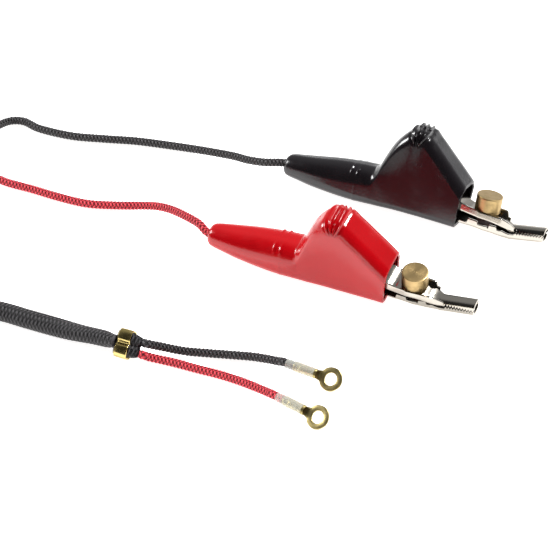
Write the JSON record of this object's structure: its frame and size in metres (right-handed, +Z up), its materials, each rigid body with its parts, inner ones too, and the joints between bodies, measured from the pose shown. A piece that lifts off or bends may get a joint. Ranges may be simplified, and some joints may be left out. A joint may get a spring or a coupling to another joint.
{
  "type": "alligator clip lead",
  "caption": "Test-set lead with booted, spring-loaded alligator clips at one end of a braided cord and ring lugs at the other.",
  "frame": {"origin": "bottom centre of the box of the two clips as they lie, on the surface they lie on", "axes": "+Z up, +X along the clips towards their noses, +Y from the red clip towards the black one"},
  "size_m": [0.2873, 0.1748, 0.0319],
  "materials": {
    "red_vinyl": "glossy soft vinyl",
    "black_vinyl": "glossy soft vinyl",
    "red_braid": "braided cotton",
    "black_braid": "braided cotton",
    "sleeve_braid": "braided cotton sleeve",
    "nickel": "bright nickel plate",
    "steel": "plated",
    "brass": "turned, lightly tarnished",
    "lug_brass": "stamped, dull",
    "copper": "bare copper strands",
    "fibre": "pressed fibre",
    "clear": "clear vinyl tube",
    "tie": "soft strap"
  },
  "bodies": {
    "lead": {"red_boot": "red_vinyl", "red_lower_jaw": "nickel", "red_pivot_pin": "steel", "red_spring": "steel", "red_anvil": "fibre", "red_terminal_screw": "steel", "red_conductor": "copper", "red_clip_lead": "red_braid", "red_lug_lead": "red_braid", "red_lug": "lug_brass", "red_lug_sleeve": "clear", "red_lug_conductor": "copper", "black_boot": "black_vinyl", "black_lower_jaw": "nickel", "black_pivot_pin": "steel", "black_spring": "steel", "black_anvil": "fibre", "black_terminal_screw": "steel", "black_conductor": "copper", "black_clip_lead": "black_braid", "black_lug_lead": "black_braid", "black_lug": "lug_brass", "black_lug_sleeve": "clear", "black_lug_conductor": "copper", "lug_ferrule": "lug_brass", "clip_ferrule": "lug_brass", "lug_sleeve_end": "sleeve_braid", "clip_sleeve_end": "sleeve_braid", "sleeve_to_lugs": "sleeve_braid", "sleeve_to_clips": "sleeve_braid", "sleeve_coil": "sleeve_braid", "coil_tie": "tie"},
    "red_jaw": {"red_upper_jaw": "nickel", "red_nail_holder": "brass", "red_nail_bed": "steel"},
    "black_jaw": {"black_upper_jaw": "nickel", "black_nail_holder": "brass", "black_nail_bed": "steel"}
  },
  "joints": [
    {"name": "red_jaw_open", "type": "hinge", "parent": "lead", "child": "red_jaw", "pos_m": [-0.00218, -0.02625, 0.00778], "axis": [-0.3995, -0.9002, -0.1734], "range_deg": [0, 22], "stiffness_Nm_per_rad": 0.1, "springref_deg": -57.3, "deforming": ["red_spring"]},
    {"name": "black_jaw_open", "type": "hinge", "parent": "lead", "child": "black_jaw", "pos_m": [0.0242, 0.0157, 0.00779], "axis": [-0.3955, -0.8861, 0.2416], "range_deg": [0, 22], "stiffness_Nm_per_rad": 0.1, "springref_deg": -57.3, "deforming": ["black_spring"]}
  ]
}
